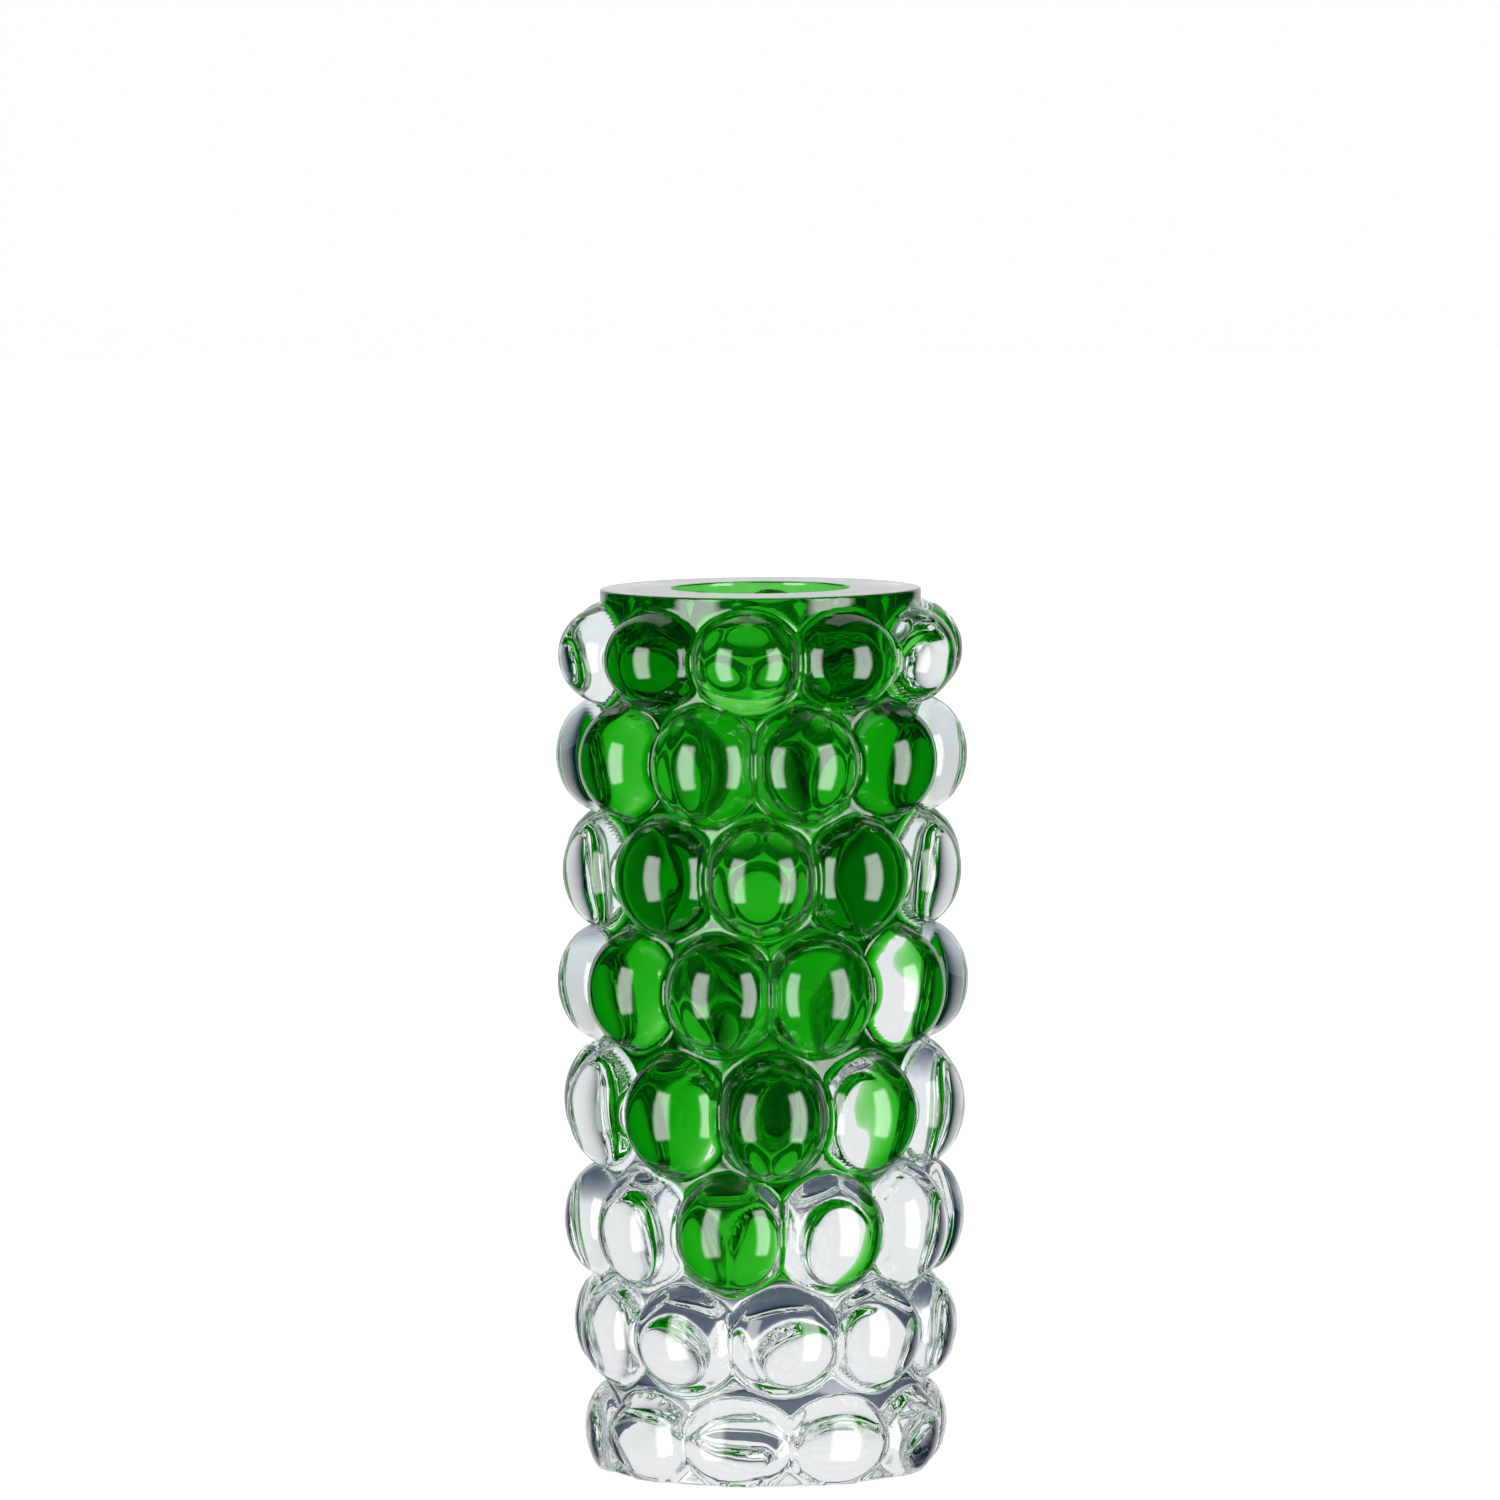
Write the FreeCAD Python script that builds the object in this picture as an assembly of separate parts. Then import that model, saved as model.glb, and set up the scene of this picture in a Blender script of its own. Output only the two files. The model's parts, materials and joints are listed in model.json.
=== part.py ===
"""Cased-glass bud vase: a green lining, a clear casing and eight rings of applied clear knobs.

Millimetres, +Z up. The origin is on the table under the vase's axis, and -Y is the front.
"""
import FreeCAD, Part
import math
import os

# The vase as a whole
VASE_HEIGHT = 150.0
CASING_RADIUS = 27.3
EDGE_BEVEL = 0.4            # ground and polished edge at the rim and at the foot

# The green lining: a thick bubble, straight above its shoulder and drawn in to a blunt nose below
LINING_RADIUS = 22.4
LINING_UNDERSIDE = 30.0     # also the thickness of the solid clear foot
LINING_NOSE_PULL = 9.5      # how far from the axis the nose's curve is still level, as a handle
BORE_RADIUS = 15.2
BORE_UNDERSIDE = 46.0
BORE_NOSE_PULL = 5.5
SHOULDER = 89.0             # where both walls start to draw in
WALL_PULL = 7.0             # how far below the shoulder each curve still runs straight down
MOUTH_BEVEL = 0.3

# The knobs: gathers of clear glass pressed onto the casing, touching along each ring
KNOBS_PER_RING = 10
KNOB_WIDTH = 18.8
KNOB_CENTRE_RADIUS = 26.8   # just under the casing's surface, so each knob is a half ellipsoid
HAND_VARIATION = 0.01       # how much the knobs of one ring differ in height, as a share
SWING_PER_KNOB = 144.0      # angle in degrees; five knobs on it comes round again, so opposite
SWING_PER_RING = 97.0       # knobs are alike and the ring stays centred on the axis

# One line for each ring, from the rim down: height of its centre, height of its knobs,
# distance from the axis to a knob's tip, and angle in degrees from the front to the first knob
RINGS = [
    (139.2, 16.8, 35.0, -4.9),
    (121.8, 19.8, 35.0, 15.5),
    (102.7, 20.2, 35.0, -0.4),
    (83.2, 20.6, 35.0, 20.6),
    (62.5, 21.0, 35.0, 3.3),
    (42.8, 20.2, 34.2, 24.0),
    (24.7, 18.2, 33.1, 6.2),
    (7.3, 15.2, 31.0, 26.0),
]

PITCH_ANGLE = 360.0 / KNOBS_PER_RING
UP = FreeCAD.Vector(0, 0, 1)
ORIGIN = FreeCAD.Vector(0, 0, 0)


def at(radius, height):
    """A point of a profile that is turned about the vase's axis."""
    return FreeCAD.Vector(radius, 0, height)


def turned(edges):
    """A solid of revolution about the vase's axis."""
    face = Part.Face(Part.Wire(edges))
    return face.revolve(ORIGIN, UP, 360)


def outline(points):
    """Straight edges from each point to the next, closed."""
    ends = points[1:] + points[:1]
    return [Part.makeLine(start, end) for start, end in zip(points, ends)]


def bubble(radius, underside, nose_pull):
    """A solid with the shape of a blown bubble's wall, from its nose up to the rim."""
    nose = Part.BezierCurve()
    nose.setPoles([
        at(0, underside),
        at(nose_pull, underside),
        at(radius, SHOULDER - WALL_PULL),
        at(radius, SHOULDER),
    ])
    return turned([
        nose.toShape(),
        Part.makeLine(at(radius, SHOULDER), at(radius, VASE_HEIGHT)),
        Part.makeLine(at(radius, VASE_HEIGHT), at(0, VASE_HEIGHT)),
        Part.makeLine(at(0, VASE_HEIGHT), at(0, underside)),
    ])


def clear_casing():
    """The thick clear cylinder with its solid foot, hollow where the lining is."""
    body = turned(outline([
        at(0, 0),
        at(CASING_RADIUS - EDGE_BEVEL, 0),
        at(CASING_RADIUS, EDGE_BEVEL),
        at(CASING_RADIUS, VASE_HEIGHT - EDGE_BEVEL),
        at(CASING_RADIUS - EDGE_BEVEL, VASE_HEIGHT),
        at(0, VASE_HEIGHT),
    ]))
    return body.cut(bubble(LINING_RADIUS, LINING_UNDERSIDE, LINING_NOSE_PULL))


def green_lining():
    """The coloured inner layer, which holds the water and the stem."""
    bore = bubble(BORE_RADIUS, BORE_UNDERSIDE, BORE_NOSE_PULL)
    bevel = Part.makeCone(
        BORE_RADIUS,
        BORE_RADIUS + MOUTH_BEVEL,
        MOUTH_BEVEL,
        at(0, VASE_HEIGHT - MOUTH_BEVEL),
        UP,
    )
    body = bubble(LINING_RADIUS, LINING_UNDERSIDE, LINING_NOSE_PULL)
    return body.cut(bore).cut(bevel)


def ring_sector():
    """The space that one knob of a ring may fill: a wedge about the front, above the table."""
    reach = 2.0 * CASING_RADIUS
    side = reach * math.tan(math.radians(PITCH_ANGLE / 2))
    corners = [ORIGIN, FreeCAD.Vector(side, -reach, 0), FreeCAD.Vector(-side, -reach, 0)]
    wedge = Part.Face(Part.Wire(outline(corners))).extrude(UP * VASE_HEIGHT)
    core = Part.makeCylinder(CASING_RADIUS, VASE_HEIGHT)
    return wedge.cut(core)


def knob(centre_height, knob_height, tip_radius):
    """One knob at the front: an ellipsoid's outer part, kept to its sector."""
    stretch = FreeCAD.Matrix()
    stretch.scale(KNOB_WIDTH / 2, tip_radius - KNOB_CENTRE_RADIUS, knob_height / 2)
    gather = Part.makeSphere(1.0).transformGeometry(stretch)
    gather.translate(FreeCAD.Vector(0, -KNOB_CENTRE_RADIUS, centre_height))
    return gather.common(ring_sector())


def knob_ring(number, centre_height, knob_height, tip_radius, first_angle):
    """Ten separate knobs round the casing, each one a little taller or shorter than the next."""
    knobs = []
    for place in range(KNOBS_PER_RING):
        swing = math.radians(SWING_PER_KNOB * place + SWING_PER_RING * number)
        variation = 1 + HAND_VARIATION * math.sin(swing)
        piece = knob(centre_height, knob_height * variation, tip_radius)
        piece.rotate(ORIGIN, UP, first_angle + PITCH_ANGLE * place)
        knobs.append(piece)
    return Part.makeCompound(knobs)


def write_parts():
    """Write every piece, or ring of pieces, to a file named for it."""
    parts = {"clear_casing": clear_casing(), "green_lining": green_lining()}
    for number, ring in enumerate(RINGS, start=1):
        parts[f"prunt_ring_{number}"] = knob_ring(number, *ring)
    os.makedirs("parts", exist_ok=True)
    for name, shape in parts.items():
        shape.exportStep(f"parts/{name}.step")
        print(f"{name}: {len(shape.Solids)} solid(s), {shape.Volume / 1000:.1f} cm3")


write_parts()
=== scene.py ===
# %% [markdown]
# # A cased-glass bud vase
#
# The vase is three kinds of glass work fused into one body. A green bubble is blown first, with a
# heavy bottom. Clear crystal is gathered over it until it is a thick cylinder with a solid foot.
# Eighty small gathers of clear glass, called prunts or knobs, are then pressed on in eight rings.
# Once it is cold, the rim and the foot are ground flat and polished.
#
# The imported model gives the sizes. The cells below read it, build the clear body and the green
# lining with one Geometry Nodes tree, give each its glass, and light them as a studio would.

import json
import math

import bpy
import numpy as np
from mathutils import Matrix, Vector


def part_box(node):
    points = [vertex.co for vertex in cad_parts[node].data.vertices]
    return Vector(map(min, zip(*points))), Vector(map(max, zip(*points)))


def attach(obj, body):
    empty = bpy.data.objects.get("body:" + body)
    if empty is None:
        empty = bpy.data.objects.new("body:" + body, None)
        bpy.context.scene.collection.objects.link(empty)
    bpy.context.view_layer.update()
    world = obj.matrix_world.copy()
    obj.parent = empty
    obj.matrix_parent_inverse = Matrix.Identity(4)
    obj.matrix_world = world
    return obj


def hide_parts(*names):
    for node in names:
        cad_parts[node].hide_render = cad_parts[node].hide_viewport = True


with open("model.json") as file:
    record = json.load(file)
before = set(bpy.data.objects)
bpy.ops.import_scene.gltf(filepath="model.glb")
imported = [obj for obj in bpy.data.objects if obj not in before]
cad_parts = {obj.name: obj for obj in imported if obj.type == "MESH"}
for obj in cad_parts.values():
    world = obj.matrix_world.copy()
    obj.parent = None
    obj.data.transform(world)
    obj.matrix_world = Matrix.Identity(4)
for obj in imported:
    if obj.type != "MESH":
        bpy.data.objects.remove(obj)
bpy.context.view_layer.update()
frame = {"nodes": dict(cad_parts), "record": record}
MM = 0.001
print("nodes:", sorted(frame["nodes"]))

# %% [markdown]
# The casing and the lining are round, so the boxes of their nodes give their radii and heights.
# The mouth is a mount, which gives the bore's radius and how far down its wall is straight. Below
# that shoulder the lining and the bore taper to a blunt nose, as a bubble does when it hangs from
# the blowpipe. A box doesn't say how a nose is curved, so its few values stand here, as they do in
# the model: where its lowest point is, and how far each end of the curve keeps its direction.

# %% Sizes of the casing, the lining and the bore
casing_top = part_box("clear_casing")[1]
lining_low, lining_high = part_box("green_lining")
CASING_RADIUS = casing_top.x
VASE_HEIGHT = casing_top.z
LINING_RADIUS = lining_high.x

mouth = next(mount for mount in frame["record"]["mounts"] if mount["name"] == "mouth")
BORE_RADIUS = mouth["dims"]["r_mm"] * MM
BORE_LENGTH = mouth["dims"]["length_mm"] * MM
EDGE_BEVEL = 0.4 * MM        # ground edge of the rim and the foot
MOUTH_BEVEL = 0.3 * MM
SHOULDER = VASE_HEIGHT - MOUTH_BEVEL - BORE_LENGTH

LINING_UNDERSIDE = lining_low.z
LINING_NOSE_PULL = 9.5 * MM  # how far out from the axis the nose still runs level
BORE_UNDERSIDE = 46 * MM
BORE_NOSE_PULL = 5.5 * MM
WALL_PULL = 7 * MM           # how far below the shoulder a wall still runs straight down
print(f"casing {CASING_RADIUS / MM:.1f} mm, lining {LINING_RADIUS / MM:.1f} mm, shoulder at "
      f"{SHOULDER / MM:.1f} mm")

# %% [markdown]
# Every ring holds ten knobs, one for each 36 degrees, and the maker started each ring at a
# slightly different place. Each knob's tip is the point furthest from the axis. Ten times a tip's
# angle is the same for all ten tips of a ring, so the mean of that tells how far the ring is
# turned. A knob's highest point, less the height of its tip, is half its height. The lowest point
# wouldn't do, because the foot is ground flat through the last ring.

# %% Find the knobs
KNOBS_PER_RING = 10
PITCH = 2 * math.pi / KNOBS_PER_RING
KNOB_WIDTH = 18.8 * MM        # a knob's full width, which its neighbours cut short
KNOB_CENTRE_DEPTH = 0.5 * MM  # how far a knob's centre lies under the casing's surface
KNOB_CENTRE_RADIUS = CASING_RADIUS - KNOB_CENTRE_DEPTH
TIP_TOLERANCE = 0.05 * MM


def front_angle(x, y):
    """Angle round the axis from the front, which is -Y, towards +X."""
    return np.arctan2(x, -y)


def find_knobs(node):
    """(angle, centre height, half height, tip radius) of each knob in one ring's node."""
    points = np.array([v.co for v in node.data.vertices])
    radius = np.hypot(points[:, 0], points[:, 1])
    angle = front_angle(points[:, 0], points[:, 1])
    tips = radius > radius.max() - TIP_TOLERANCE
    turn = np.angle(np.exp(1j * KNOBS_PER_RING * angle[tips]).mean()) / KNOBS_PER_RING
    knobs = []
    for place in range(KNOBS_PER_RING):
        middle = turn + place * PITCH
        off = np.angle(np.exp(1j * (angle - middle)))
        heights = points[np.abs(off) < PITCH / 4, 2]
        tip_height = points[tips & (np.abs(off) < PITCH / 2), 2].mean()
        knobs.append((middle, tip_height, heights.max() - tip_height, radius.max()))
    return knobs


ring_nodes = sorted(name for name in frame["nodes"] if name.startswith("prunt_ring_"))
knobs = [knob for name in ring_nodes for knob in find_knobs(frame["nodes"][name])]
print(len(knobs), "knobs in", len(ring_nodes), "rings")

# %% [markdown]
# A glassmaker's tongs serve for every piece. In the same way one small function adds a node to any
# tree, with its settings and its links, and everything below, shaders and Geometry Nodes alike, is
# built with it. An input can be given in order or by name, as a plain value or as another node's
# output. Arithmetic is so common that a second function, made from the first, does that.

# %% The node helper
def add(tree, kind, *links, out=0, **settings):
    """Adds a node; links fill its inputs in order, as sockets or values. Returns one output."""
    node = tree.nodes.new(kind)
    named = settings.pop("inputs", {})
    for name, value in settings.items():
        setattr(node, name, value)
    for key, value in list(enumerate(links)) + list(named.items()):
        if value is None:
            continue
        if isinstance(value, bpy.types.NodeSocket):
            tree.links.new(value, node.inputs[key])
        else:
            node.inputs[key].default_value = value
    return node if out is None else node.outputs[out]


def maths(tree, operation, *links):
    """One step of arithmetic."""
    return add(tree, "ShaderNodeMath", *links, operation=operation)


# %% [markdown]
# The knob rule. A knob is the outer half of an ellipsoid that sits just under the casing's
# surface. It could be modelled once and copied eighty times, but fused glass is one skin, so the
# rule asks instead how far the glass stands out from the casing in any direction and at any
# height. Looking out from the axis, a ray leaves the ellipsoid at the larger root of a quadratic,
# and that root less the casing's radius is the answer for one knob.

# %% The dome of a knob
FACING = 0.5                 # cosine of 60 degrees, further round than any knob reaches


def dome_height(tree, given, cosine, facing, rise2, centre_radius, reach):
    """How far one knob's ellipsoid stands out from the casing, and 0 where the ray misses it."""
    cos2 = maths(tree, "MULTIPLY", cosine, cosine)
    sin2 = maths(tree, "SUBTRACT", 1.0, cos2)
    reach2 = maths(tree, "MULTIPLY", reach, reach)
    width2 = maths(tree, "MULTIPLY", given["Half width"], given["Half width"])
    centre2 = maths(tree, "MULTIPLY", centre_radius, centre_radius)

    # A r^2 - 2 B r + C = 0 along the ray
    a = maths(tree, "ADD", maths(tree, "DIVIDE", cos2, reach2), maths(tree, "DIVIDE", sin2, width2))
    b = maths(tree, "DIVIDE", maths(tree, "MULTIPLY", centre_radius, cosine), reach2)
    c = maths(tree, "SUBTRACT", maths(tree, "ADD", maths(tree, "DIVIDE", centre2, reach2), rise2),
              1.0)
    under_root = maths(tree, "SUBTRACT", maths(tree, "MULTIPLY", b, b), maths(tree, "MULTIPLY", a, c))
    root = maths(tree, "SQRT", maths(tree, "MAXIMUM", under_root, 0.0))
    hit = maths(tree, "DIVIDE", maths(tree, "ADD", b, root), a)
    dome = maths(tree, "SUBTRACT", hit, given["Casing radius"])
    struck = maths(tree, "MULTIPLY", maths(tree, "GREATER_THAN", under_root, 0.0), facing)
    return maths(tree, "MULTIPLY", maths(tree, "MAXIMUM", dome, 0.0), struck)


# %% [markdown]
# Where hot glass wets the casing it leaves a small concave fillet, a quarter circle in section.
# Its height depends only on the distance outside the knob's edge, measured along the casing.

# %% The fillet round a knob
def fillet_height(tree, given, cosine, rise2):
    """How far the fillet stands out, falling to 0 one fillet's width outside the knob's edge."""
    turn = maths(tree, "ARCCOSINE", maths(tree, "MINIMUM", cosine, 1.0))
    arc_length = maths(tree, "MULTIPLY", turn, given["Casing radius"])
    across = maths(tree, "DIVIDE", arc_length, given["Half width"])
    spread = maths(tree, "SQRT", maths(tree, "ADD", maths(tree, "MULTIPLY", across, across), rise2))
    outside = maths(tree, "MULTIPLY", maths(tree, "SUBTRACT", spread, 1.0), given["Half width"])
    share = add(tree, "ShaderNodeClamp", maths(tree, "DIVIDE", outside, given["Fillet"]))
    lean = maths(tree, "SUBTRACT", 1.0, share)
    drop = maths(tree, "SQRT", maths(tree, "SUBTRACT", 1.0, maths(tree, "MULTIPLY", lean, lean)))
    return maths(tree, "MULTIPLY", maths(tree, "SUBTRACT", 1.0, drop), given["Fillet"])


# %% [markdown]
# A Repeat zone goes through the knobs one by one and keeps the largest height. Two knobs that
# touch don't meet in a sharp crease, because surface tension rounds the valley between them, so
# the larger of two heights is taken smoothly.

# %% Geometry Nodes: how far the knobs stand out
def sampled(tree, points, value, index, kind):
    """The value of a field at one point of a mesh."""
    return add(tree, "GeometryNodeSampleIndex", points, value, data_type=kind, domain="POINT",
               inputs={"Index": index})


def attribute(tree, name, kind="FLOAT"):
    """A named value that each point carries."""
    return add(tree, "GeometryNodeInputNamedAttribute", name, data_type=kind)


def one_knob(tree, given, index):
    """How far the knob with this index makes the glass stand out."""
    place = sampled(tree, given["Knobs"], add(tree, "GeometryNodeInputPosition"), index,
                    "FLOAT_VECTOR")
    split = add(tree, "ShaderNodeSeparateXYZ", place, out=None).outputs
    flat = add(tree, "ShaderNodeCombineXYZ", split["X"], split["Y"])
    centre_radius = add(tree, "ShaderNodeVectorMath", flat, operation="LENGTH", out="Value")
    outward = add(tree, "ShaderNodeVectorMath", flat, operation="NORMALIZE")
    half_height = sampled(tree, given["Knobs"], attribute(tree, "half_height"), index, "FLOAT")
    reach = sampled(tree, given["Knobs"], attribute(tree, "reach"), index, "FLOAT")

    cosine = add(tree, "ShaderNodeVectorMath", given["Direction"], outward,
                 operation="DOT_PRODUCT", out="Value")
    facing = maths(tree, "GREATER_THAN", cosine, FACING)
    rise = maths(tree, "DIVIDE", maths(tree, "SUBTRACT", given["Height up"], split["Z"]),
                 half_height)
    rise2 = maths(tree, "MULTIPLY", rise, rise)
    dome = dome_height(tree, given, cosine, facing, rise2, centre_radius, reach)
    fillet = fillet_height(tree, given, cosine, rise2)
    return maths(tree, "MAXIMUM", dome, maths(tree, "MULTIPLY", fillet, facing))


def knob_height_group():
    """How far all the knobs together make the glass stand out, in a direction and at a height."""
    tree = bpy.data.node_groups.new("knob height", "GeometryNodeTree")
    face = tree.interface
    face.new_socket("Knobs", in_out="INPUT", socket_type="NodeSocketGeometry")
    face.new_socket("Direction", in_out="INPUT", socket_type="NodeSocketVector")
    for name in ("Height up", "Casing radius", "Half width", "Fillet", "Valley"):
        face.new_socket(name, in_out="INPUT", socket_type="NodeSocketFloat")
    face.new_socket("Bulge", in_out="OUTPUT", socket_type="NodeSocketFloat")
    given = tree.nodes.new("NodeGroupInput").outputs
    result = tree.nodes.new("NodeGroupOutput")

    start = tree.nodes.new("GeometryNodeRepeatInput")
    end = tree.nodes.new("GeometryNodeRepeatOutput")
    start.pair_with_output(end)
    end.repeat_items.clear()
    end.repeat_items.new("FLOAT", "Bulge")
    end.repeat_items.new("INT", "Knob")
    count = add(tree, "GeometryNodeAttributeDomainSize", given["Knobs"], component="MESH")
    tree.links.new(count, start.inputs["Iterations"])
    start.inputs["Bulge"].default_value = 0.0
    so_far, index = start.outputs["Bulge"], start.outputs["Knob"]

    knob = one_knob(tree, given, index)
    blend = maths(tree, "MINIMUM", given["Valley"], maths(tree, "MINIMUM", so_far, knob))
    larger = maths(tree, "SMOOTH_MAX", so_far, knob, blend)
    tree.links.new(larger, end.inputs["Bulge"])
    tree.links.new(maths(tree, "ADD", index, 1.0), end.inputs["Knob"])
    tree.links.new(end.outputs["Bulge"], result.inputs["Bulge"])
    return tree


knob_height = knob_height_group()
print("knob rule:", len(knob_height.nodes), "nodes")

# %% [markdown]
# Turned glass. A lathe makes a round body from half an outline, and so does this tree. A grid of
# rows and columns is wrapped round the axis: each row takes its radius and height from a point of
# the outline, and each column is one direction. Rows on the outside wall are then pushed out by
# the knob rule. The outline's `share` is 1 where the wall carries knobs, and falls to 0 at the
# middle of the foot, so that the ground foot has the wavy edge of the knobs that it cuts. Its
# `free` is 1 on rows that may still move, which those of ground and polished faces may not.

# %% Geometry Nodes: a grid wrapped round the axis
SEAM = 0.005 * MM            # points nearer than this are one, at the seam and at both poles


def surface_point(tree, given, knob_points, direction, height, plain_radius):
    """The point of the finished surface in a direction, at a height."""
    bulge = add(tree, "GeometryNodeGroup", node_tree=knob_height, inputs={
        "Knobs": knob_points, "Direction": direction, "Height up": height,
        "Casing radius": given["Casing radius"],
        "Half width": maths(tree, "MULTIPLY", given["Knob width"], 0.5),
        "Fillet": given["Fillet"], "Valley": given["Valley"]})
    radius = maths(tree, "ADD", plain_radius, maths(tree, "MULTIPLY", bulge,
                                                    attribute(tree, "share")))
    flat = add(tree, "ShaderNodeVectorMath", direction, operation="SCALE",
               inputs={"Scale": radius})
    return add(tree, "ShaderNodeVectorMath", flat,
               add(tree, "ShaderNodeCombineXYZ", 0.0, 0.0, height), operation="ADD")


def wrapped_grid(tree, given, knob_points):
    """A grid wrapped round the axis along the outline, and closed at its seam and its poles."""
    outline = given["Geometry"]
    rows = add(tree, "GeometryNodeAttributeDomainSize", outline, component="MESH")
    grid = add(tree, "GeometryNodeMeshGrid", 1.0, 1.0, rows,
               maths(tree, "ADD", given["Columns"], 1.0))
    spot = add(tree, "ShaderNodeSeparateXYZ", add(tree, "GeometryNodeInputPosition"), out=None)
    row = maths(tree, "ROUND", maths(tree, "MULTIPLY", maths(tree, "ADD", spot.outputs["X"], 0.5),
                                     maths(tree, "SUBTRACT", rows, 1.0)))
    turn = maths(tree, "MULTIPLY", spot.outputs["Y"], 2 * math.pi)
    place = sampled(tree, outline, add(tree, "GeometryNodeInputPosition"), row, "FLOAT_VECTOR")
    share = sampled(tree, outline, attribute(tree, "share"), row, "FLOAT")
    free = sampled(tree, outline, attribute(tree, "free"), row, "FLOAT")
    for name, value, kind in (("share", share, "FLOAT"), ("free", free, "FLOAT"),
                              ("outline", place, "FLOAT_VECTOR"), ("angle", turn, "FLOAT")):
        grid = add(tree, "GeometryNodeStoreNamedAttribute", grid, None, name, value,
                   data_type=kind, domain="POINT")

    profile = add(tree, "ShaderNodeSeparateXYZ", attribute(tree, "outline", "FLOAT_VECTOR"),
                  out=None)
    angle = attribute(tree, "angle")
    direction = add(tree, "ShaderNodeCombineXYZ", maths(tree, "SINE", angle),
                    maths(tree, "MULTIPLY", maths(tree, "COSINE", angle), -1.0))
    wrapped = add(tree, "GeometryNodeSetPosition", grid, None, surface_point(
        tree, given, knob_points, direction, profile.outputs["Z"], profile.outputs["X"]))
    return add(tree, "GeometryNodeMergeByDistance", wrapped, inputs={"Distance": SEAM})


# %% [markdown]
# A grid stretched over a dome is coarse on its steep sides, and a coarse lens shows facets. So the
# rows and columns are relaxed: each free point moves to the mean of its neighbours and is set back
# on the surface, a few times over. Then the wall gets the slow unevenness of glass that was shaped
# by hand, as smooth noise along its normals.

# %% Geometry Nodes: relaxed and shaped by hand
EVENING_ROUNDS = 2           # rounds of averaging in each relax step


def relaxed(tree, given, knob_points, glass):
    """The same surface, with its free points spread evenly over it."""
    start = tree.nodes.new("GeometryNodeRepeatInput")
    end = tree.nodes.new("GeometryNodeRepeatOutput")
    start.pair_with_output(end)
    tree.links.new(given["Relax steps"], start.inputs["Iterations"])
    tree.links.new(glass, start.inputs["Geometry"])
    evened = add(tree, "GeometryNodeBlurAttribute", data_type="FLOAT_VECTOR",
                 inputs={"Value": add(tree, "GeometryNodeInputPosition"),
                         "Iterations": EVENING_ROUNDS})
    even = add(tree, "ShaderNodeSeparateXYZ", evened, out=None).outputs
    direction = add(tree, "ShaderNodeVectorMath", add(tree, "ShaderNodeCombineXYZ", even["X"],
                                                      even["Y"]), operation="NORMALIZE")
    moves = maths(tree, "GREATER_THAN", attribute(tree, "free"), 0.5)
    moved = add(tree, "GeometryNodeSetPosition", start.outputs["Geometry"], moves, surface_point(
        tree, given, knob_points, direction, even["Z"], given["Casing radius"]))
    tree.links.new(moved, end.inputs["Geometry"])
    return end.outputs["Geometry"]


def shaped_by_hand(tree, given, glass):
    """The same glass with a slow wave in its free wall."""
    noise = add(tree, "ShaderNodeTexNoise", inputs={
        "Vector": add(tree, "GeometryNodeInputPosition"),
        "Scale": maths(tree, "DIVIDE", 1.0, given["Wave length"]), "Detail": 1.0})
    height = maths(tree, "MULTIPLY", given["Wave height"], attribute(tree, "free"))
    swell = maths(tree, "MULTIPLY", maths(tree, "SUBTRACT", noise, 0.5), height)
    offset = add(tree, "ShaderNodeVectorMath", add(tree, "GeometryNodeInputNormal"),
                 operation="SCALE", inputs={"Scale": swell})
    return add(tree, "GeometryNodeSetPosition", glass, None, None, offset)


# %% [markdown]
# The whole tree joins these steps. It ends with faces that point outwards, smooth shading, real
# geometry and the glass itself, and it throws away the attributes that only the steps needed.

# %% Geometry Nodes: turned glass with knobs
def turned_glass_tree():
    """The tree that turns an outline into closed glass, with the knobs on its wall."""
    tree = bpy.data.node_groups.new("turned glass", "GeometryNodeTree")
    face = tree.interface
    face.new_socket("Geometry", in_out="INPUT", socket_type="NodeSocketGeometry")
    face.new_socket("Knobs", in_out="INPUT", socket_type="NodeSocketObject")
    face.new_socket("Material", in_out="INPUT", socket_type="NodeSocketMaterial")
    for name in ("Columns", "Relax steps"):
        face.new_socket(name, in_out="INPUT", socket_type="NodeSocketInt")
    for name in ("Casing radius", "Knob width", "Fillet", "Valley", "Wave height", "Wave length"):
        face.new_socket(name, in_out="INPUT", socket_type="NodeSocketFloat")
    face.new_socket("Geometry", in_out="OUTPUT", socket_type="NodeSocketGeometry")
    given = tree.nodes.new("NodeGroupInput").outputs
    result = tree.nodes.new("NodeGroupOutput")

    knob_points = add(tree, "GeometryNodeObjectInfo", given["Knobs"], out="Geometry")
    glass = wrapped_grid(tree, given, knob_points)
    glass = relaxed(tree, given, knob_points, glass)
    glass = shaped_by_hand(tree, given, glass)
    for name in ("share", "free", "outline", "angle"):
        glass = add(tree, "GeometryNodeRemoveAttribute", glass, name)
    glass = add(tree, "GeometryNodeFlipFaces", glass)
    glass = add(tree, "GeometryNodeSetShadeSmooth", glass)
    glass = add(tree, "GeometryNodeRealizeInstances", glass)
    glass = add(tree, "GeometryNodeSetMaterial", glass, None, given["Material"])
    tree.links.new(glass, result.inputs["Geometry"])
    return tree


turned_glass = turned_glass_tree()
print("turned glass:", len(turned_glass.nodes), "nodes")

# %% [markdown]
# A tree needs a mesh to work on. An outline is a mesh of loose points in order, with the two
# attributes that the tree reads, and the knobs are a mesh of loose points too. Three helpers draw
# the stretches that an outline is made of: an arc, a straight line, and a bubble's nose, which is
# one cubic curve from a wall that runs straight down to a bottom that runs level.

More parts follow.
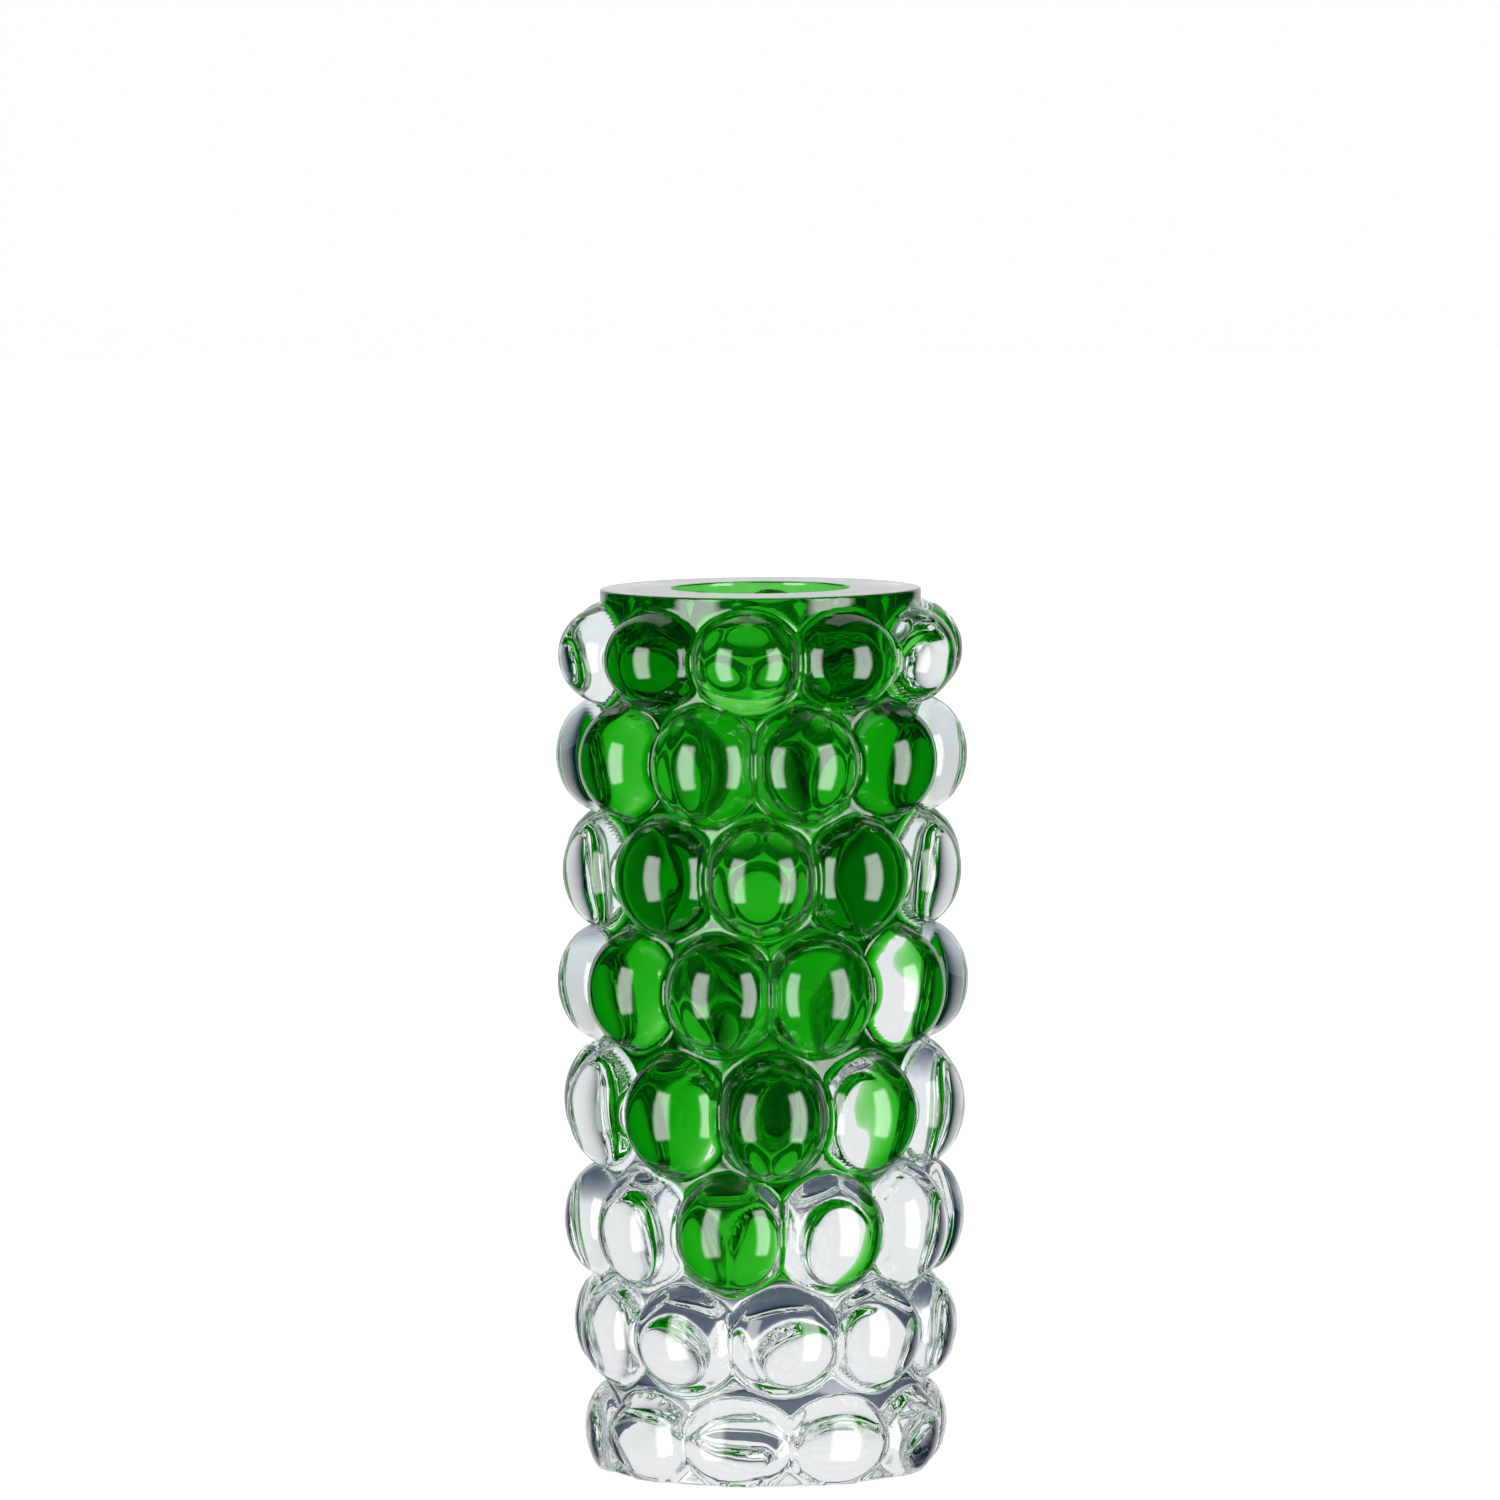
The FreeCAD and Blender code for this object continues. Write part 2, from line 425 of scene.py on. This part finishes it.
# %% Points with attributes
def points_object(name, places, **attributes):
    """An object of loose points, each with its own value of every attribute."""
    mesh = bpy.data.meshes.new(name)
    mesh.from_pydata([tuple(place) for place in places], [], [])
    for label, values in attributes.items():
        layer = mesh.attributes.new(label, "FLOAT", "POINT")
        layer.data.foreach_set("value", np.array(values, dtype=np.float32))
    obj = bpy.data.objects.new(name, mesh)
    bpy.context.scene.collection.objects.link(obj)
    return obj


def arc(centre_r, centre_z, radius, first, last, steps):
    """Points of an arc in an outline, by angles in degrees from level, the first one left out."""
    turns = np.radians(np.linspace(first, last, steps + 1)[1:])
    return [(centre_r + radius * math.cos(t), centre_z + radius * math.sin(t)) for t in turns]


def nose(radius, underside, nose_pull, steps):
    """A blown bubble's tapering bottom, from its wall down to the axis, the first point left out."""
    t = np.linspace(0, 1, steps + 1)[1:]
    weights = (1 - t) ** 3, 3 * t * (1 - t) ** 2, 3 * t ** 2 * (1 - t), t ** 3
    radii = (radius, radius, nose_pull, 0.0)
    heights = (SHOULDER, SHOULDER - WALL_PULL, underside, underside)
    return list(zip(sum(w * r for w, r in zip(weights, radii)),
                    sum(w * z for w, z in zip(weights, heights))))


def straight(start, end, steps):
    """Points from start to end, the first one left out."""
    return [tuple(np.array(start) + (np.array(end) - start) * i / steps) for i in range(1, steps + 1)]


knob_points = points_object(
    "knob_places",
    [(KNOB_CENTRE_RADIUS * math.sin(turn), -KNOB_CENTRE_RADIUS * math.cos(turn), height)
     for turn, height, _, _ in knobs],
    half_height=[half for _, _, half, _ in knobs],
    reach=[tip - KNOB_CENTRE_RADIUS for _, _, _, tip in knobs],
)
no_knobs = points_object("no_knobs", [])
print("knob places:", len(knob_points.data.vertices))

# %% [markdown]
# The clear body's outline starts at the middle of the foot, runs out to the ground edge, up the
# wall, over the polished rim, down the bore and ends at the tip of its nose. The bore is part of
# this one closed skin and passes inside the green lining, because fused glass has no gap or inner
# surface: light bends where it enters the outside and where it meets the air in the bore, and
# nowhere between.

# %% Outline of the clear body
WALL_ROWS = 258
FOOT_CIRCLES = (0.35, 0.65, 0.88)  # rows across the ground foot, as shares of its radius
BEVEL_STEPS = 3
RIM_STEPS = 4
BORE_STEPS = 10
NOSE_STEPS = 24
SUPPORT = 0.5 * MM           # a row this near to each edge keeps it crisp under smooth shading


def clear_outline():
    """The rows of the clear body, and each row's share and free."""
    foot_edge, wall = CASING_RADIUS - EDGE_BEVEL, CASING_RADIUS
    foot = [(0.0, 0.0)] + [(foot_edge * s, 0.0) for s in FOOT_CIRCLES]
    foot += [(foot_edge - SUPPORT, 0.0), (foot_edge, 0.0)]
    foot_share = [r / foot_edge for r, _ in foot]
    side = arc(foot_edge, EDGE_BEVEL, EDGE_BEVEL, -90, 0, BEVEL_STEPS)
    side += straight((wall, EDGE_BEVEL), (wall, VASE_HEIGHT - EDGE_BEVEL), WALL_ROWS)
    rim = arc(foot_edge, VASE_HEIGHT - EDGE_BEVEL, EDGE_BEVEL, 0, 90, BEVEL_STEPS)
    rim += [(foot_edge - SUPPORT, VASE_HEIGHT)]
    lip = BORE_RADIUS + MOUTH_BEVEL
    rim += straight(rim[-1], (lip + SUPPORT, VASE_HEIGHT), RIM_STEPS)
    rim += [(lip, VASE_HEIGHT)]
    rim += arc(lip, VASE_HEIGHT - MOUTH_BEVEL, MOUTH_BEVEL, 90, 180, BEVEL_STEPS)
    bore = [(BORE_RADIUS, VASE_HEIGHT - MOUTH_BEVEL - SUPPORT)]
    bore += straight(bore[-1], (BORE_RADIUS, SHOULDER), BORE_STEPS)
    bore += nose(BORE_RADIUS, BORE_UNDERSIDE, BORE_NOSE_PULL, NOSE_STEPS)
    rows = foot + side + rim + bore
    share = foot_share + [1.0] * len(side) + [0.0] * (len(rim) + len(bore))
    below, above = len(foot) + BEVEL_STEPS, 1 + len(rim) + len(bore)
    free = [0.0] * below + [1.0] * (WALL_ROWS - 1) + [0.0] * above
    return [(r, 0.0, z) for r, z in rows], share, free


rows, share, free = clear_outline()
clear_profile = points_object("clear_profile", rows, share=share, free=free)
print("clear outline:", len(rows), "rows")

# %% [markdown]
# The lining is a closed shell of colour inside the clear glass, a hair's breadth from the bore.
# Its two faces bend nothing, so what it adds is colour, and more of it where a ray crosses it at a
# slant. Its bottom is thicker than its wall, as a blown bubble's is. Nothing on it moves or
# carries knobs, so its share and free are 0 throughout.

# %% Outline of the lining
GAP = 0.03 * MM
LINING_WALL_STEPS = 16
LINING_BORE_STEPS = 22


def lining_outline():
    """The rows of the lining, from its nose up the outside and down the bore's side."""
    top = VASE_HEIGHT - GAP
    outer = [(LINING_RADIUS, SHOULDER)]
    outer += nose(LINING_RADIUS, LINING_UNDERSIDE, LINING_NOSE_PULL, NOSE_STEPS)
    outer = outer[::-1] + straight(outer[0], (LINING_RADIUS, top), LINING_WALL_STEPS)
    inner_radius = BORE_RADIUS + GAP
    inner = [(inner_radius + MOUTH_BEVEL, top), (inner_radius, top - MOUTH_BEVEL)]
    inner += straight(inner[-1], (inner_radius, SHOULDER), LINING_BORE_STEPS)
    inner += nose(inner_radius, BORE_UNDERSIDE - GAP, BORE_NOSE_PULL, NOSE_STEPS)
    rows = outer + inner
    return [(r, 0.0, z) for r, z in rows], [0.0] * len(rows), [0.0] * len(rows)


rows, share, free = lining_outline()
lining_profile = points_object("lining_profile", rows, share=share, free=free)
print("lining outline:", len(rows), "rows")

# %% [markdown]
# Colours are named by their sRGB hex value, as a paint card or an editor gives them, and one
# function turns them into the linear numbers that light is added in.

# %% Colours
def colour(hex_value):
    """Linear red, green, blue and alpha from an sRGB hex value."""
    parts = [int(hex_value[i:i + 2], 16) / 255 for i in (1, 3, 5)]
    linear = [p / 12.92 if p <= 0.04045 else ((p + 0.055) / 1.055) ** 2.4 for p in parts]
    return (*linear, 1.0)


def new_material(name):
    """A material with an empty tree and its output node."""
    material = bpy.data.materials.new(name)
    material.use_nodes = True
    tree = material.node_tree
    tree.nodes.clear()
    return material, tree, tree.nodes.new("ShaderNodeOutputMaterial")


# %% [markdown]
# Fire-polished crystal. Heat melts the last scratches off, so the wall is perfectly smooth and
# mirrors like still water, with an index of about 1.53. What the eye reads as hand work is a slow
# ripple in the surface, a few millimetres from crest to crest, which bends what is seen through
# it. The foot alone was ground on a wheel and polished less, so it is faintly hazed.

# %% Material: fire-polished crystal
CRYSTAL_IOR = 1.53
RIPPLE_LENGTH = 7 * MM
RIPPLE_HEIGHT = 0.04 * MM
FOOT_GRIT = 0.8 * MM         # coarser than a real wheel's grit, which is too fine to show
FOOT_HAZE = 0.12
FOOT_LEVEL = 0.1 * MM        # everything lower than this belongs to the ground foot


def fire_polished_crystal():
    """Clear glass, perfectly smooth but for a slow ripple, with a faintly hazed foot."""
    material, tree, output = new_material("fire_polished_crystal")
    place = add(tree, "ShaderNodeTexCoord", out="Object")
    height = add(tree, "ShaderNodeSeparateXYZ", place, out="Z")
    on_foot = maths(tree, "LESS_THAN", height, FOOT_LEVEL)
    grit = add(tree, "ShaderNodeTexNoise", inputs={"Vector": place, "Scale": 1 / FOOT_GRIT,
                                                   "Detail": 3.0})
    haze = maths(tree, "MULTIPLY", on_foot, maths(tree, "MULTIPLY", grit, FOOT_HAZE))
    ripple = add(tree, "ShaderNodeTexNoise", inputs={"Vector": place, "Scale": 1 / RIPPLE_LENGTH,
                                                     "Detail": 1.0})
    bump = add(tree, "ShaderNodeBump", inputs={"Strength": 1.0, "Distance": RIPPLE_HEIGHT,
                                               "Height": ripple})
    glass = add(tree, "ShaderNodeBsdfPrincipled", inputs={
        "Base Color": colour("#FBFFFD"), "Roughness": haze, "IOR": CRYSTAL_IOR,
        "Transmission Weight": 1.0, "Normal": bump})
    tree.links.new(glass, output.inputs["Surface"])
    return material


# %% [markdown]
# Emerald glass. Chromium and copper oxides melted into the batch take out red first, then blue,
# and leave green. The colour is in the depth of the glass, not on its surface, so it is a volume
# that absorbs: a thin wall is bright green and a long slant through it is nearly black. Melted
# colour is never quite even, and its faint cords run along the vase, drawn out by the blowing.

# %% Material: blown emerald glass
EMERALD = "#AEF29A"
EMERALD_DENSITY = 450.0      # per metre
CORD_WIDTH = 4 * MM
CORD_SQUASH = 0.15           # the pattern's scale along the vase, so that its cords are drawn out


def blown_emerald_glass():
    """Green glass whose colour is in its depth, with faint upright cords."""
    material, tree, output = new_material("blown_emerald_glass")
    place = add(tree, "ShaderNodeTexCoord", out="Object")
    drawn_out = add(tree, "ShaderNodeMapping", place, inputs={
        "Scale": (1.0, 1.0, CORD_SQUASH)})
    cords = add(tree, "ShaderNodeTexNoise", inputs={"Vector": drawn_out, "Scale": 1 / CORD_WIDTH,
                                                    "Detail": 2.0})
    streak = add(tree, "ShaderNodeMix", data_type="RGBA", out=2, inputs={
        "Factor": cords, 6: colour("#E9FBEA"), 7: colour("#FFFFFF")})
    surface = add(tree, "ShaderNodeBsdfPrincipled", inputs={
        "Base Color": streak, "Roughness": 0.0, "IOR": 1.0, "Transmission Weight": 1.0})
    depth = add(tree, "ShaderNodeVolumeAbsorption", inputs={
        "Color": colour(EMERALD), "Density": EMERALD_DENSITY})
    tree.links.new(surface, output.inputs["Surface"])
    tree.links.new(depth, output.inputs["Volume"])
    return material


crystal = fire_polished_crystal()
emerald = blown_emerald_glass()
print("glass:", crystal.name, "and", emerald.name)

# %% [markdown]
# The tree's inputs are set on a modifier, by each socket's identifier. The result is then copied
# out as a plain mesh, and the outline it was made from is thrown away. The clear body needs many
# rows and columns, because every knob is a lens. The lining bends nothing, so it needs few.

# %% Turn the two pieces
COLUMNS = 320
LINING_COLUMNS = 128
RELAX_STEPS = 8
FILLET = 0.9 * MM            # radius of the fillet where a knob meets the casing
VALLEY = 0.8 * MM            # how far up its sides the valley between two knobs is rounded
WAVE_HEIGHT = 0.12 * MM      # unevenness of the wall, and the length of its waves
WAVE_LENGTH = 9 * MM
WALL = {"Casing radius": CASING_RADIUS, "Knob width": KNOB_WIDTH, "Fillet": FILLET,
        "Valley": VALLEY, "Wave length": WAVE_LENGTH}


def turned_piece(name, profile, settings):
    """A plain mesh object, turned from a profile with the tree's inputs set."""
    modifier = profile.modifiers.new("turn", "NODES")
    modifier.node_group = turned_glass
    for item in turned_glass.interface.items_tree:
        if item.in_out == "INPUT" and item.name in settings:
            modifier[item.identifier] = settings[item.name]
    bpy.context.view_layer.update()
    evaluated = profile.evaluated_get(bpy.context.evaluated_depsgraph_get())
    mesh = bpy.data.meshes.new_from_object(evaluated)
    mesh.name = name
    mesh.materials.clear()  # the grid leaves an empty slot in front of the glass
    mesh.materials.append(settings["Material"])
    piece = bpy.data.objects.new(name, mesh)
    bpy.context.scene.collection.objects.link(piece)
    bpy.data.objects.remove(profile)
    mesh.calc_loop_triangles()
    print(f"{name}: {len(mesh.vertices)} points, {len(mesh.loop_triangles)} triangles")
    return piece


crystal_body = turned_piece("crystal_body", clear_profile, {
    **WALL, "Knobs": knob_points, "Material": crystal, "Columns": COLUMNS,
    "Relax steps": RELAX_STEPS, "Wave height": WAVE_HEIGHT})
emerald_lining = turned_piece("emerald_lining", lining_profile, {
    **WALL, "Knobs": no_knobs, "Material": emerald, "Columns": LINING_COLUMNS,
    "Relax steps": 0, "Wave height": 0.0})
bpy.data.objects.remove(knob_points)
bpy.data.objects.remove(no_knobs)

# %% [markdown]
# Nothing on the vase moves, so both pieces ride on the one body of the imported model. The clear
# body stands for the casing and every ring of knobs, because their joints vanish when they fuse.

# %% Ride on the body
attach(crystal_body, "root")
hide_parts("clear_casing", *ring_nodes)
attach(emerald_lining, "root")
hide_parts("green_lining")
print("clear body stands for", 1 + len(ring_nodes), "nodes, the lining for one")

# %% [markdown]
# The set. Clear glass has no colour of its own: it shows the room behind it, bent. A bright room
# fills it with light, and whatever is dark in the room draws its lines. Studios stand dark boards,
# called flags, beside clear glass for this. Two broad flags are part of this room: each covers a
# stretch of directions between the back wall and the side, with soft edges.

# %% Flags
FLAG_FROM = 35               # degrees round the vase from the back wall, on either side
FLAG_TO = 79
FLAG_SOFTNESS = 14


def flag_cover(tree, towards_wall):
    """1 where a level direction meets a flag and 0 elsewhere, from its cosine to the back wall."""
    def edge(angle, before, after):
        return add(tree, "ShaderNodeMapRange", towards_wall,
                   math.cos(math.radians(angle + FLAG_SOFTNESS)),
                   math.cos(math.radians(angle - FLAG_SOFTNESS)), before, after,
                   interpolation_type="SMOOTHSTEP")

    return maths(tree, "MULTIPLY", edge(FLAG_TO, 0.0, 1.0), edge(FLAG_FROM, 1.0, 0.0))


# %% [markdown]
# The table is satin white paint, lit until it is as white as the wall, so it gives off light of
# its own here. What shows of it through the glass is a painted shade: its colour turns dark
# blue-grey there. Its light starts only a hand's breadth from the vase, which leaves a painted
# shadow round the vase, and none comes from behind the flags, which leaves painted shadows of them.

# %% Table
GLOW_SEEN = 0.8              # light that the open table gives off
GLOW_IN_GLASS = 0.7          # the same, in what shows through the glass
# painted shade: the dark blue-grey the table takes in place of its white in what shows through the
# glass
TABLE_SHADE = "#4A5C7C"
SHADE_REACH = 0.09           # distances from the axis where that light starts and is full
GLOW_REACH = 0.3
TABLE_REACH = 4.0
TABLE_GRAIN = 25 * MM
FOOT_GAP = 0.2 * MM          # a ground foot stands on its few highest points, over a film of air


def white_table_with_painted_shade():
    """Satin white paint with its own light, and painted shade in what shows through the glass."""
    material, tree, output = new_material("white_table_with_painted_shade")
    place = add(tree, "ShaderNodeTexCoord", out="Object")
    grain = add(tree, "ShaderNodeTexNoise", inputs={"Vector": place, "Scale": 1 / TABLE_GRAIN,
                                                    "Detail": 3.0})
    paint = add(tree, "ShaderNodeMix", data_type="RGBA", out=2, inputs={
        "Factor": grain, 6: colour("#F1F1F0"), 7: colour("#F6F6F5")})
    distance = add(tree, "ShaderNodeVectorMath", place, operation="LENGTH", out="Value")
    # painted shadow of the vase: the table's light falls to nothing near the vase in what shows
    # through the glass
    beyond_painted_shadow = add(tree, "ShaderNodeMapRange", distance, SHADE_REACH, GLOW_REACH, 0.0,
                       GLOW_IN_GLASS, interpolation_type="SMOOTHSTEP")
    level = add(tree, "ShaderNodeVectorMath", place, operation="NORMALIZE")
    towards_wall = add(tree, "ShaderNodeSeparateXYZ", level, out="Y")
    # painted shadows of the flags: no light comes from the table behind them
    outside_painted_flag_shadows = maths(tree, "SUBTRACT", 1.0, flag_cover(tree, towards_wall))
    in_glass = maths(tree, "MULTIPLY", beyond_painted_shadow, outside_painted_flag_shadows)
    direct = add(tree, "ShaderNodeLightPath", out="Is Camera Ray")
    glow = add(tree, "ShaderNodeMapRange", direct, 0.0, 1.0, in_glass, GLOW_SEEN)
    # painted shade: what shows through the glass takes TABLE_SHADE in place of the white paint
    paint_or_painted_shade = add(tree, "ShaderNodeMix", data_type="RGBA", out=2, inputs={
        "Factor": direct, 6: colour(TABLE_SHADE), 7: paint})
    surface = add(tree, "ShaderNodeBsdfPrincipled", inputs={
        "Base Color": paint_or_painted_shade, "Roughness": 0.6, "Emission Color": colour("#FFFFFF"),
        "Emission Strength": glow})
    tree.links.new(surface, output.inputs["Surface"])
    return material


table_mesh = bpy.data.meshes.new("table")
corners = [(-1, -1), (1, -1), (1, 1), (-1, 1)]
table_mesh.from_pydata([(x * TABLE_REACH, y * TABLE_REACH, -FOOT_GAP) for x, y in corners], [],
                       [(0, 1, 2, 3)])
table_mesh.materials.append(white_table_with_painted_shade())
table = bpy.data.objects.new("table", table_mesh)
bpy.context.scene.collection.objects.link(table)
table.visible_glossy = False
print("table:", 2 * TABLE_REACH, "m square")

# %% [markdown]
# The room. What shows through the glass is the white room with its flags. What the glass mirrors
# is mostly the side where the camera stands, which is kept dark, so that its faint reflections
# don't veil the colour. Only the back wall is mirrored white, along the edges of the knobs.

# %% Room
ROOM_DARK = "#0A1630"
WALL_WHITE = "#F3F1F5"
WALL_EDGE = 35               # degrees round the vase from the middle of the wall
WALL_SOFTNESS = 6


def light_the_room():
    """A world that is white to the eye, flagged through the glass and mostly dark in a mirror."""
    world = bpy.data.worlds.new("room")
    world.use_nodes = True
    tree = world.node_tree
    tree.nodes.clear()
    output = tree.nodes.new("ShaderNodeOutputWorld")
    towards = add(tree, "ShaderNodeSeparateXYZ", add(tree, "ShaderNodeTexCoord", out="Generated"),
                  out=None).outputs
    level = add(tree, "ShaderNodeVectorMath", add(tree, "ShaderNodeCombineXYZ", towards["X"],
                                                  towards["Y"]), operation="NORMALIZE")
    towards_wall = add(tree, "ShaderNodeSeparateXYZ", level, out="Y")
    wall = add(tree, "ShaderNodeMapRange", towards_wall,
               math.cos(math.radians(WALL_EDGE + WALL_SOFTNESS)),
               math.cos(math.radians(WALL_EDGE - WALL_SOFTNESS)), 0.0, 1.0,
               interpolation_type="SMOOTHSTEP")
    mirrored = add(tree, "ShaderNodeMix", data_type="RGBA", out=2, inputs={
        "Factor": wall, 6: colour(ROOM_DARK), 7: colour(WALL_WHITE)})
    through = add(tree, "ShaderNodeMix", data_type="RGBA", out=2, inputs={
        "Factor": flag_cover(tree, towards_wall), 6: colour(WALL_WHITE), 7: colour(ROOM_DARK)})
    ray = add(tree, "ShaderNodeLightPath", out=None).outputs
    # light bent through clear glass counts as glossy too, so it is taken away
    is_mirrored = maths(tree, "SUBTRACT", ray["Is Glossy Ray"], ray["Is Transmission Ray"])
    in_glass = add(tree, "ShaderNodeMix", data_type="RGBA", out=2, inputs={
        "Factor": is_mirrored, 6: through, 7: mirrored})
    shown = add(tree, "ShaderNodeMix", data_type="RGBA", out=2, inputs={
        "Factor": ray["Is Camera Ray"], 6: in_glass, 7: colour("#FFFFFF")})
    light = add(tree, "ShaderNodeBackground", shown, 1.0)
    tree.links.new(light, output.inputs["Surface"])
    bpy.context.scene.world = world


light_the_room()
print("flags from", FLAG_FROM, "to", FLAG_TO, "degrees")

# %% [markdown]
# Two tall soft boxes stand left and right of the camera, a cloth front over a lamp, brightest in
# the middle. Each knob mirrors them as two pale upright panes, which is how the eye knows that the
# glass is wet-smooth and domed. They light nothing else.

# %% Soft boxes
SOFT_BOX_RADIANCE = 8.0
SOFT_BOX_HEIGHT = 1.3
SOFT_BOX_DISTANCE = 0.9
FADE_ACROSS = 0.25           # share of the width, and of the height, over which the cloth darkens
FADE_UP = 0.12


def soft_box(name, turn_degrees, width):
    """A soft box at an angle round the vase from the front, facing it."""
    light = bpy.data.lights.new(name, "AREA")
    light.shape = "RECTANGLE"
    light.size, light.size_y = width, SOFT_BOX_HEIGHT
    light.energy = SOFT_BOX_RADIANCE * math.pi * width * SOFT_BOX_HEIGHT
    box = bpy.data.objects.new(name, light)
    turn = math.radians(turn_degrees)
    box.location = (SOFT_BOX_DISTANCE * math.sin(turn), -SOFT_BOX_DISTANCE * math.cos(turn),
                    VASE_HEIGHT / 2)
    box.rotation_euler = (math.pi / 2, 0, turn)
    box.visible_camera = False
    box.visible_diffuse = False
    box.visible_transmission = False
    light.use_nodes = True
    tree = light.node_tree
    cloth = add(tree, "ShaderNodeNewGeometry", out="Parametric")
    across = add(tree, "ShaderNodeSeparateXYZ", cloth, out=None).outputs
    strength = 1.0
    for coordinate, fade in ((across["X"], FADE_ACROSS), (across["Y"], FADE_UP)):
        from_middle = maths(tree, "ABSOLUTE", maths(tree, "SUBTRACT", coordinate, 0.5))
        from_edge = maths(tree, "SUBTRACT", 0.5, from_middle)
        part = add(tree, "ShaderNodeMapRange", from_edge, 0.0, fade, 0.0, 1.0,
                   interpolation_type="SMOOTHSTEP")
        strength = maths(tree, "MULTIPLY", strength, part)
    tree.links.new(strength, tree.nodes["Emission"].inputs["Strength"])
    bpy.context.scene.collection.objects.link(box)
    print(f"{name}: {width} m wide at {turn_degrees} degrees")


soft_box("left_soft_box", -46, 0.62)
soft_box("right_soft_box", 52, 0.66)

# %% [markdown]
# The camera stands about two metres off with a long lens, a little above the rim, so that the
# vase's sides stay upright and its rim shows as a thin ellipse.

# %% Camera
CAMERA_PLACE = (-1.95 * MM, -1.93, 0.281)
LENS = 273.6
SENSOR_WIDTH = 36.0
PITCH_DOWN = 4.7
ROLL = 0.4
camera_data = bpy.data.cameras.new("camera")
camera_data.lens = LENS
camera_data.sensor_width = SENSOR_WIDTH
camera_data.clip_end = 50.0
camera = bpy.data.objects.new("camera", camera_data)
camera.matrix_world = (
    Matrix.Translation(CAMERA_PLACE)
    @ Matrix.Rotation(math.radians(90 - PITCH_DOWN), 4, "X")
    @ Matrix.Rotation(math.radians(-ROLL), 4, "Z"))
bpy.context.scene.collection.objects.link(camera)
bpy.context.scene.camera = camera
print("camera", -CAMERA_PLACE[1], "m away, looking", PITCH_DOWN, "degrees down")

# %% [markdown]
# A ray crosses glass many times between the knobs, the rim and the bore. If it is cut short it
# ends black, so it may cross many more surfaces than it would have to on a dull object. Colours
# are shown as they are, with no film curve.

# %% Ray depth and colour
CROSSINGS = 32
REFLECTIONS = 12
scene = bpy.context.scene
scene.view_settings.view_transform = "Standard"
scene.cycles.max_bounces = CROSSINGS
scene.cycles.transmission_bounces = CROSSINGS
scene.cycles.transparent_max_bounces = CROSSINGS
scene.cycles.glossy_bounces = REFLECTIONS
print("ray depth:", scene.cycles.max_bounces)
